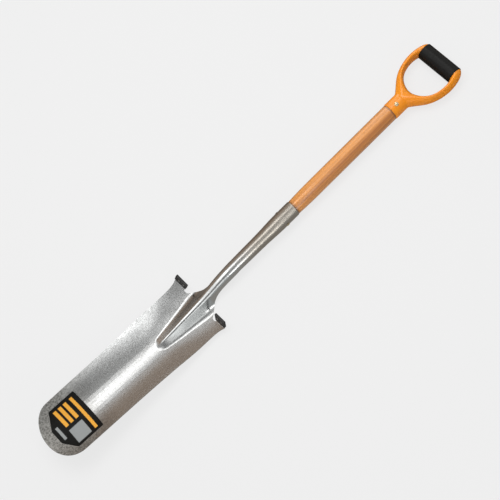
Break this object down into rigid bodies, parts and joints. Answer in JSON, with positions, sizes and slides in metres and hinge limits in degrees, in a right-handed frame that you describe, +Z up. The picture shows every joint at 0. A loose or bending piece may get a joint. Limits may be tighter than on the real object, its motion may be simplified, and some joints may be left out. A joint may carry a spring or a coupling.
{
  "type": "planting spade",
  "caption": "Long-bladed planting spade: dished steel blade with pressed frog, neck and socket, capped treads, wooden shaft and a D-grip.",
  "frame": {"origin": "middle of the tool's length and width, on the floor it lies on, back down", "axes": "+X along the shaft towards the grip, +Y towards the left tread, +Z up, the way the front of the blade faces"},
  "size_m": [1.0875, 0.1454, 0.0591],
  "materials": {
    "blade_steel": "bright satin sheet, fine speckle",
    "cover_black": "matt moulded",
    "rivet_steel": "zinc plated, dull",
    "shaft_wood": "clear lacquered ash",
    "yoke_orange": "smooth moulded, glossy",
    "sleeve_black": "satin"
  },
  "bodies": {
    "root": {"blade_and_socket": "blade_steel", "step_cover_left": "cover_black", "step_cover_right": "cover_black", "cover_rivets": "rivet_steel", "handle_shaft": "shaft_wood", "socket_rivet": "rivet_steel", "grip_yoke": "yoke_orange", "grip_rivet": "rivet_steel", "grip_sleeve": "sleeve_black"}
  },
  "joints": []
}
